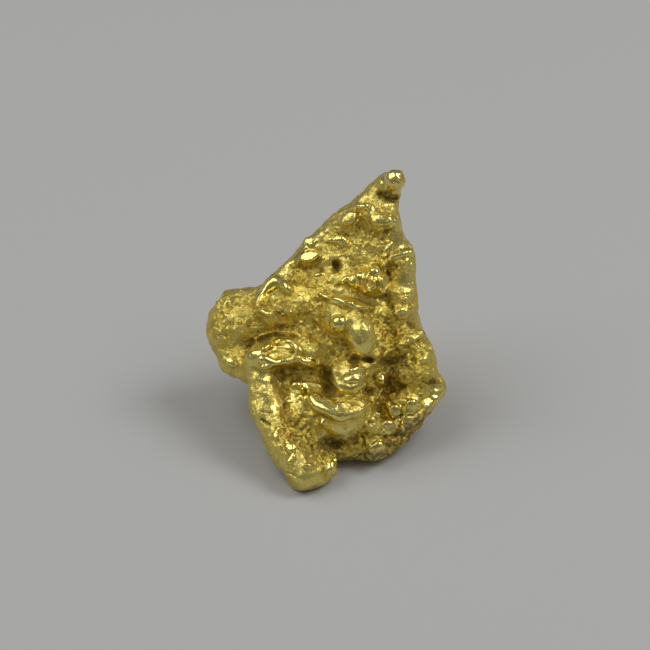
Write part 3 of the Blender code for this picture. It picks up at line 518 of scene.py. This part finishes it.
to_face = np.array(FACE.inverted())
to_stand = np.array(FACE)
seen = points @ to_face[:3, :3].T + to_face[:3, 3]
rings = []
for (across, up), radius, half_width, depth in RING_CREASES:
    ring = []
    for turn in np.linspace(0, 2 * math.pi, RING_SIDES + 1):
        ring.append((across + radius * math.cos(turn), up + radius * math.sin(turn)))
    rings.append((ring, half_width, depth))
surface = surface_of(nugget.data)
for line, half_width, depth in CREASES + rings:
    nearest = np.full(len(seen), np.inf)
    line_out = np.zeros(len(seen))
    for start, end in zip(line, line[1:]):
        start_out = out_at(surface, *start)
        end_out = out_at(surface, *end)
        run = np.array(end) - np.array(start)
        share = np.clip((seen[:, :2] - start) @ run / (run @ run), 0.0, 1.0)
        gap = np.linalg.norm(seen[:, :2] - start - share[:, None] * run, axis=1)
        closer = gap < nearest
        nearest[closer] = gap[closer]
        line_out[closer] = (start_out + share * (end_out - start_out))[closer]
    reach = CREASED * np.clip(1.0 - (nearest / (CREASE_REACH * half_width)) ** 2, 0.0, 1.0) ** 2
    near = np.clip(CREASE_FADED - np.abs(seen[:, 2] - line_out) / CREASE_FADE, 0.0, 1.0)
    seen[:, 2] -= depth * reach * near
points = seen @ to_stand[:3, :3].T + to_stand[:3, 3]
normals = normals_of(points)

# How worn each point is, from 0 where the gold is etched to 1 where it is polished
LUMP_ROUNDS = 90  # rounds of averaging that tell a lump from the mass around it
LUMP_BULGE = 0.16  # a lump that stands out this much is polished, and a hollow this deep is etched
PATCH_END = 1.6  # a patch is gone where the squares of the offsets, in half sizes, add up to this
PATCH_FACING = (2.0, 0.6)  # and it fades as the skin turns away: how fast, and what is left edge-on
WORN_BY_PATCH = 0.7
LEDGE_PATCH = 1.1  # the worn patch of a ledge, next to its half sizes
LEDGE_WORN = 0.8
UNEVENLY_WORN = (1.3, 0.35)  # size of a cloud of wear, how much it wears
WORN_ROUNDS = 3
facing = np.clip(normals @ np.array(OUT) * PATCH_FACING[0] + PATCH_FACING[1], 0.0, 1.0)
worn = 0.5 + 0.5 * np.clip(bulge(points, normals, LUMP_ROUNDS) / LUMP_BULGE, -1.0, 1.0)
ledges = []
for across, up, half_width, half_height, turn, side in LEDGES:
    if side != "heap":
        ledges.append(((across, up), (LEDGE_PATCH * half_width, LEDGE_PATCH * half_height), turn, LEDGE_WORN))


def within(centre, half_sizes, turn):
    """How far each point lies inside an oval patch of the face: 1 well inside, 0 outside."""
    angle = math.radians(turn)
    offset = seen[:, :2] - centre
    along_width = (offset @ (math.cos(angle), math.sin(angle))) / half_sizes[0]
    along_height = (offset @ (-math.sin(angle), math.cos(angle))) / half_sizes[1]
    return np.clip(PATCH_END - (along_width**2 + along_height**2), 0.0, 1.0) * facing


for centre, half_sizes, turn, amount in WORN + ledges:
    worn += WORN_BY_PATCH * amount * within(centre, half_sizes, turn)
dirt = np.zeros(len(points))
for centre, half_sizes, turn, amount in DIRTY:
    dirt = np.maximum(dirt, amount * within(centre, half_sizes, turn))
clouds = np.array([noise.noise(Vector(point) / UNEVENLY_WORN[0]) for point in points])
worn = np.clip(worn + UNEVENLY_WORN[1] * clouds, 0.0, 1.0)
worn = spread(worn[:, None], WORN_ROUNDS)[:, 0]

# The etched skin: bowls with sharp crests between them, grains in the hollows, and a fine unevenness
BOWLS = ((0.9, 0.07), (0.4, 0.045))  # size of a bowl, and how high its crests stand over its floor
CREST_WIDTH = 0.55  # in bowls
CREST_SHARE = 0.3  # how far a bowl's floor lies under the skin, next to the height of its crests
BOWLS_ETCHED = 1.3  # how fast bowls deepen as the gold is more etched
GRAINS = (0.22, 0.06)  # size of a grain, and how much it falls from its middle over that size
GRAIN_EDGE = 0.4  # where a grain meets the skin, in its size
GRAINS_ETCHED = (1.6, 0.5)  # how fast grains rise as the gold is more etched, and how late
UNEVEN = ((1.5, 0.14), (0.55, 0.05))  # size of a swelling, its height
WARP = (0.45, 0.7)  # how far the cells of a bowl or grain are bent, and how many bends in a cell
RESTING = (0.1, 0.4)  # the skin stays flat below this height, and its relief is whole this much higher


def nearest_cell(point, size):
    """The distance to the nearest of the scattered centres, in cell sizes, and to the next."""
    spot = Vector(point) / size
    spot += WARP[0] * noise.noise_vector(spot * WARP[1])
    return noise.voronoi(spot)[0][:2]


etched = 1.0 - worn
lift = np.zeros(len(points))
for size, height in BOWLS:
    cells = np.array([nearest_cell(point, size) for point in points])
    crest = np.clip(1.0 - (cells[:, 1] - cells[:, 0]) / CREST_WIDTH, 0.0, 1.0) ** 2
    lift += height * (crest - CREST_SHARE) * np.clip(etched * BOWLS_ETCHED, 0.0, 1.0)
cells = np.array([nearest_cell(point, GRAINS[0]) for point in points])
grainy = np.clip(etched * GRAINS_ETCHED[0] - GRAINS_ETCHED[1], 0.0, 1.0)
lift += GRAINS[1] * (GRAIN_EDGE - cells[:, 0]) * grainy
for size, height in UNEVEN:
    lift += height * np.array([noise.noise(Vector(point) / size) for point in points])
above = np.clip((points[:, 2] - RESTING[0]) / RESTING[1], 0.0, 1.0)
points = points + normals * (lift * above)[:, None]
normals = normals_of(points)

# What the finish follows: worn crests, creases with dirt and painted shade, and hollows with painted shade
FINE_ROUNDS = 6  # rounds of averaging that tell fine crests and creases
WIDE_ROUNDS = 60  # and wide ones
FINE_CREST = 0.012  # height of a whole crest
FINE_CREASE = 0.02  # depth of a whole crease
WIDE_CREASE = 0.16
WIDE_HOLLOW = 0.12
fine = bulge(points, normals, FINE_ROUNDS)
wide = bulge(points, normals, WIDE_ROUNDS)
crests = np.clip(0.5 + 0.5 * fine / FINE_CREST, 0.0, 1.0)
# how far into a crease each point lies: it holds brown earth, and the material deepens it with painted shade
creases = np.clip(-(fine / FINE_CREASE + wide / WIDE_CREASE), 0.0, 1.0)
# how deep in a wide hollow each point lies: the material darkens it there as painted shade
shaded_hollows = np.clip(-wide / WIDE_HOLLOW, 0.0, 1.0)
nugget.data.transform(Matrix.Scale(MM, 4))
followed = {"worn": worn, "crests": crests, "creases": creases, "shaded_hollows": shaded_hollows, "dirt": dirt}
for name, values in followed.items():
    layer = nugget.data.attributes.new(name, "FLOAT", "POINT")
    layer.data.foreach_set("value", values.astype(np.float32))

FACETS = 190000  # the finished skin is thinned to this many
nugget.data.calc_loop_triangles()
thinning = nugget.modifiers.new("thinning", "DECIMATE")
thinning.ratio = min(1.0, FACETS / len(nugget.data.loop_triangles))
thinning.use_collapse_triangulate = True
settle(nugget)
nugget.data.shade_smooth()


class Wire:
    """A value in a material's nodes. Python's operators on it add Math nodes."""

    def __init__(self, tree, socket=None):
        self.tree = tree
        self.socket = socket

    def node(self, kind, settings, inputs, output=0):
        """Adds a node of a kind, sets it up, feeds its sockets and gives its output."""
        made = self.tree.nodes.new("ShaderNode" + kind)
        for name, value in settings.items():
            setattr(made, name, value)
        for key, value in inputs.items():
            if isinstance(value, Wire):
                self.tree.links.new(value.socket, made.inputs[key])
            else:
                made.inputs[key].default_value = value
        return Wire(self.tree, made.outputs[output])

    def maths(self, operation, *terms):
        """Adds a Math node of an operation, fed with the terms."""
        return self.node("Math", {"operation": operation}, dict(enumerate(terms)))

    def __add__(self, other):
        return self.maths("ADD", self, other)

    def __radd__(self, other):
        return self.maths("ADD", other, self)

    def __sub__(self, other):
        return self.maths("SUBTRACT", self, other)

    def __rsub__(self, other):
        return self.maths("SUBTRACT", other, self)

    def __mul__(self, other):
        return self.maths("MULTIPLY", self, other)

    def __rmul__(self, other):
        return self.maths("MULTIPLY", other, self)

    def between(self, low, high):
        """0 below low, 1 above high, and even between them."""
        return self.node("MapRange", {"clamp": True}, {0: self, 1: low, 2: high, 3: 0.0, 4: 1.0})

    def mix(self, low, high):
        """One colour where this value is 0, the other where it is 1."""
        return self.node("Mix", {"data_type": "RGBA"}, {0: self, 6: low, 7: high}, 2)


# Native gold with some silver in it: pale where it is worn, deeper where it is etched, with brown earth
# left in the creases, and painted shade that deepens the creases and dims the hollows between lumps.
PALE_GOLD = (0.84, 0.73, 0.25, 1.0)
GOLD = (0.8, 0.64, 0.13, 1.0)
DEEP_GOLD = (0.64, 0.47, 0.075, 1.0)
# the dim gold of the painted shade in the hollows between lumps
PAINTED_SHADE_GOLD = (0.44, 0.33, 0.08, 1.0)
EARTH = (0.2, 0.14, 0.045, 1.0)
POLISHED = 0.2  # roughness where it is most worn
DULL = 0.55  # and where it is etched
POLISH_START = 5.0  # the higher, the nearer to wholly worn the gold is before it shines
FACET_SCALE = 4.0  # etched facets in a millimetre
FACET_TILT = 16.0  # height of the facets, next to the finer grain
SWIRL = 0.25  # how far the facets' outlines are bent
RELIEF = 0.000045  # height of the finest grain, in metres

native_gold = bpy.data.materials.new("native_gold")
native_gold.use_nodes = True
tree = native_gold.node_tree
shader = tree.nodes["Principled BSDF"]
gold = Wire(tree)
place = gold.node("TexCoord", {}, {}, "Object")
place = gold.node("VectorMath", {"operation": "SCALE"}, {0: place, "Scale": 1 / MM})
worn_here = gold.node("Attribute", {"attribute_name": "worn"}, {}, "Fac")
crest_here = gold.node("Attribute", {"attribute_name": "crests"}, {}, "Fac")
crease_here = gold.node("Attribute", {"attribute_name": "creases"}, {}, "Fac")
hollow_shade_here = gold.node("Attribute", {"attribute_name": "shaded_hollows"}, {}, "Fac")
dirt_here = gold.node("Attribute", {"attribute_name": "dirt"}, {}, "Fac")
mottle = gold.node("TexNoise", {}, {"Vector": place, "Scale": 1.6, "Detail": 4.0, "Roughness": 0.6})
specks = gold.node("TexNoise", {}, {"Vector": place, "Scale": 7.0, "Detail": 3.0, "Roughness": 0.6})
grains = gold.node("TexVoronoi", {"feature": "SMOOTH_F1"}, {"Vector": place, "Scale": 5.0, "Smoothness": 0.4})
glints = gold.node("TexNoise", {}, {"Vector": place, "Scale": 9.0, "Detail": 1.0})
dust = gold.node("TexNoise", {}, {"Vector": place, "Scale": 10.0, "Detail": 2.0})
depth_of_colour = (mottle.between(0.35, 0.7) * 0.5 + (1 - worn_here) * 0.7).between(0.0, 1.0)
colour = depth_of_colour.mix(PALE_GOLD, GOLD)
# Deeper gold where the gold is etched, and painted shade that deepens the creases
colour = (crease_here * 0.8 + (1 - worn_here) * 0.25).between(0.0, 1.0).mix(colour, DEEP_GOLD)
colour = (specks.between(0.35, 0.65) * (0.75 - worn_here * 0.5)).mix(colour, DEEP_GOLD)
# Painted shade: the hollows between lumps are darkened towards a dim gold
colour = (hollow_shade_here * 0.35).mix(colour, PAINTED_SHADE_GOLD)
flecks = gold.node("TexNoise", {}, {"Vector": place, "Scale": 4.5, "Detail": 2.0, "Roughness": 0.6})
dirty = flecks.between(0.44, 0.52) * dirt_here * 0.9
earth = (crease_here + specks - worn_here * 0.3).between(1.1, 1.7)
earth = earth.maths("MAXIMUM", earth, dirty)
colour = earth.mix(colour, EARTH)
tree.links.new(colour.socket, shader.inputs["Base Color"])
polish = worn_here.maths("POWER", worn_here, POLISH_START)
roughness = DULL - (DULL - POLISHED) * polish + (specks - 0.5) * 0.2 + earth * 0.3 - crest_here * 0.1
roughness = roughness + hollow_shade_here * 0.08 - glints.between(0.56, 0.64) * 0.2
tree.links.new(roughness.socket, shader.inputs["Roughness"])
metal = 1 - earth * 0.5
tree.links.new(metal.socket, shader.inputs["Metallic"])
swirl = gold.node("TexNoise", {}, {"Vector": place, "Scale": 2.5, "Detail": 1.0}, "Color")
swirl = gold.node("VectorMath", {"operation": "SCALE"}, {0: swirl, "Scale": SWIRL})
bent = gold.node("VectorMath", {"operation": "ADD"}, {0: place, 1: swirl})
facets = {"Vector": bent, "Scale": FACET_SCALE}
tilt = gold.node("TexVoronoi", {}, facets, "Color")
tilt = gold.node("VectorMath", {"operation": "SUBTRACT"}, {0: tilt, 1: (0.5, 0.5, 0.5)})
centre_there = gold.node("TexVoronoi", {}, facets, "Position")
from_centre = gold.node("VectorMath", {"operation": "SUBTRACT"}, {0: bent, 1: centre_there})
facet_height = gold.node("VectorMath", {"operation": "DOT_PRODUCT"}, {0: tilt, 1: from_centre}, "Value")
grain_height = dust + specks * 0.9 - grains * 0.8 + facet_height * FACET_TILT
height = grain_height * (1.15 - worn_here)
bump = gold.node("Bump", {}, {"Strength": 1.0, "Distance": RELIEF, "Height": height})
tree.links.new(bump.socket, shader.inputs["Normal"])

nugget.data.materials.clear()
nugget.data.materials.append(native_gold)
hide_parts("nugget")
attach(nugget, "root")

# The sheet of plain pale paper that the nugget stands on.
FLOOR_SIDE = 1.6
FLOOR_TONE = (0.485, 0.485, 0.48, 1.0)
PAPER_ROUGHNESS = 0.9
bm = bmesh.new()
bmesh.ops.create_grid(bm, x_segments=1, y_segments=1, size=FLOOR_SIDE / 2)
floor_mesh = bpy.data.meshes.new("floor")
bm.to_mesh(floor_mesh)
bm.free()
floor = bpy.data.objects.new("floor", floor_mesh)
bpy.context.scene.collection.objects.link(floor)
paper = bpy.data.materials.new("paper")
paper.use_nodes = True
paper_shader = paper.node_tree.nodes["Principled BSDF"]
paper_shader.inputs["Base Color"].default_value = FLOOR_TONE
paper_shader.inputs["Roughness"].default_value = PAPER_ROUGHNESS
floor.data.materials.append(paper)

# Soft studio light: a broad box to the left, a smaller and stronger one to the right, in a dim room
# that is lighter overhead and round the boxes.
AIM = MIDDLE * MM
ASIDE = 0.574  # the boxes hang 35 degrees to the side of straight up
OVERHEAD = 0.819
SOFT_BOXES = {  # direction, distance, side, watts
    "left_box": ((-ASIDE, 0.0, OVERHEAD), 0.26, 0.2, 0.23),
    "right_box": ((ASIDE, 0.0, OVERHEAD), 0.26, 0.13, 0.24),
}
DARK_ROOM = (0.15, 0.15, 0.15, 1.0)
LIT_ROOM = (0.39, 0.39, 0.385, 1.0)
LIT_FROM = 0.2  # how near to a box's direction the room begins to be lighter
for name, (direction, distance, side, watts) in SOFT_BOXES.items():
    lamp = bpy.data.lights.new(name, "AREA")
    lamp.shape = "SQUARE"
    lamp.size = side
    lamp.energy = watts
    box = bpy.data.objects.new(name, lamp)
    box.location = AIM + Vector(direction).normalized() * distance
    box.rotation_euler = Vector(direction).to_track_quat("Z", "Y").to_euler()
    bpy.context.scene.collection.objects.link(box)
room = bpy.data.worlds.new("room")
room.use_nodes = True
air = Wire(room.node_tree)
toward = air.node("TexCoord", {}, {})
sideways = air.node("SeparateXYZ", {}, {0: toward}, "X")
upward = air.node("SeparateXYZ", {}, {0: toward}, "Z")
glow = sideways.maths("ABSOLUTE", sideways) * ASIDE + upward * OVERHEAD
lit = glow.between(LIT_FROM, 1.0)
tone = (lit * lit).mix(DARK_ROOM, LIT_ROOM)
room.node_tree.links.new(tone.socket, room.node_tree.nodes["Background"].inputs["Color"])
bpy.context.scene.world = room
bpy.context.scene.view_settings.view_transform = "Standard"

# The camera looks down on the broad face along its own lean, through a long lens.
CAMERA_DISTANCE = 0.36
PICTURE_WIDTH = 0.0325
lens = bpy.data.cameras.new("camera")
lens.lens = lens.sensor_width * CAMERA_DISTANCE / PICTURE_WIDTH
camera = bpy.data.objects.new("camera", lens)
camera.location = AIM + OUT * CAMERA_DISTANCE
camera.rotation_euler = OUT.to_track_quat("Z", "Y").to_euler()
bpy.context.scene.collection.objects.link(camera)
bpy.context.scene.camera = camera
